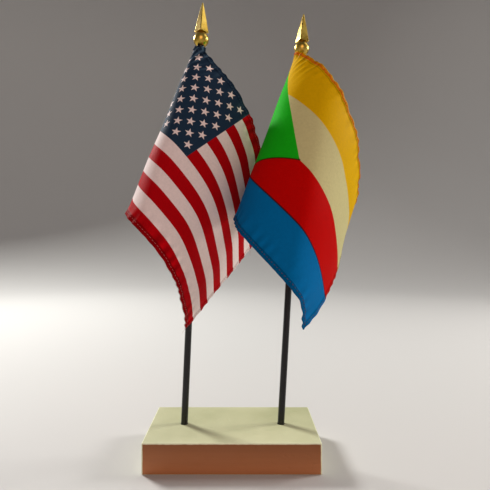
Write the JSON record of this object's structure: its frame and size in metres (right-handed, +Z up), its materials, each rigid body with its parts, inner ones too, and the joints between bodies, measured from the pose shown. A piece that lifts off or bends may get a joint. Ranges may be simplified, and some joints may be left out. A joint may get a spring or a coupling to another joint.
{
  "type": "desk flag stand",
  "caption": "Desk flag stand: a painted block with two leaning black staffs, each with a gilt spear finial and a draped, hemmed stick flag.",
  "frame": {"origin": "centre of the block's underside", "axes": "+Z up; +X to the viewer's right along the block's long side; +Y to the back"},
  "size_m": [0.1397, 0.1074, 0.2792],
  "materials": {
    "painted_block": "satin ivory paint on sanded wood",
    "black_lacquer": "gloss black lacquer",
    "gilt": "bright gold metallised",
    "striped_cloth": "printed satin cloth in red, white and navy",
    "four_colour_cloth": "printed satin cloth in yellow, white, red, blue and green"
  },
  "bodies": {
    "base": {"base_block": "painted_block"},
    "left_standard": {"left_staff": "black_lacquer", "left_finial": "gilt"},
    "left_cloth": {"left_sleeve": "striped_cloth", "left_flag": "striped_cloth"},
    "right_standard": {"right_staff": "black_lacquer", "right_finial": "gilt"},
    "right_cloth": {"right_sleeve": "four_colour_cloth", "right_flag": "four_colour_cloth"}
  },
  "joints": [
    {"name": "left_staff_lift", "type": "slide", "parent": "base", "child": "left_standard", "axis": [0.0436, 0, 0.999], "range_m": [0, 0.012]},
    {"name": "left_flag_turn", "type": "hinge", "parent": "left_standard", "child": "left_cloth", "pos_m": [-0.03, 0, 0.0178], "axis": [0.0436, 0, 0.999], "range_deg": [0, 34]},
    {"name": "right_staff_lift", "type": "slide", "parent": "base", "child": "right_standard", "axis": [0.061, 0.0479, 0.997], "range_m": [0, 0.012]},
    {"name": "right_flag_turn", "type": "hinge", "parent": "right_standard", "child": "right_cloth", "pos_m": [0.03, 0, 0.0178], "axis": [0.061, 0.0479, 0.997], "range_deg": [0, 60]}
  ]
}
